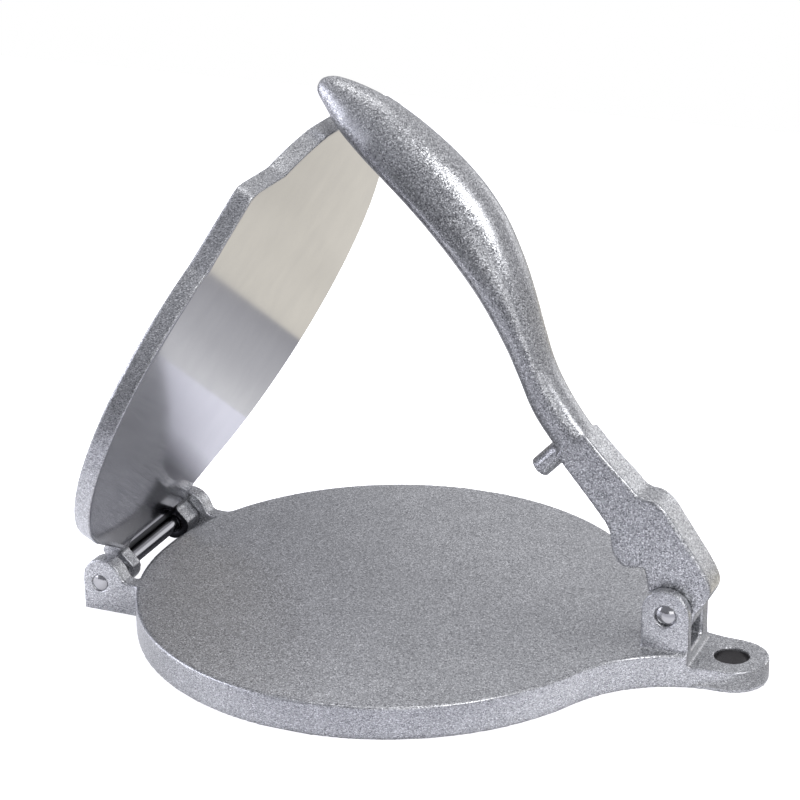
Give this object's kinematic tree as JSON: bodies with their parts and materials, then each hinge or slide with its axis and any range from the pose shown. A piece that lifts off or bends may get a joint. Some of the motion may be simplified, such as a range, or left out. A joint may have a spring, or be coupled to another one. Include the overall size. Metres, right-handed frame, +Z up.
{
  "type": "dumpling wrapper press",
  "caption": "Hand press with a round base plate, a hinged round lid and a cam lever in a clevis, for flattening dough into thin round wrappers.",
  "frame": {"origin": "centre of the round base plate's underside, on the table", "axes": "+X from the lid hinge towards the lever's clevis and the hanging tab, +Z up from the table, +Y to the back"},
  "size_m": [0.2204, 0.165, 0.178],
  "materials": {
    "coated_casting": "cast aluminium with a grey hammertone coat; the lid's pressing face is machined bare",
    "steel_pin": "bright drawn steel"
  },
  "bodies": {
    "base": {"base_casting": "coated_casting", "lid_hinge_pin": "steel_pin", "handle_pivot_pin": "steel_pin"},
    "lid": {"lid_casting": "coated_casting"},
    "handle": {"handle_casting": "coated_casting"}
  },
  "joints": [
    {"name": "lid_hinge", "type": "hinge", "parent": "base", "child": "lid", "pos_m": [-0.09, 0, 0.0097], "axis": [0, -1, 0], "range_deg": [-62.96, 42]},
    {"name": "handle_swing", "type": "hinge", "parent": "base", "child": "handle", "pos_m": [0.0949, 0, 0.0224], "axis": [0, 1, 0], "range_deg": [-22.1, 33.1]}
  ],
  "couplings": [
    {"joint": "handle_swing", "follows": "lid_hinge", "ratio": -0.525}
  ]
}
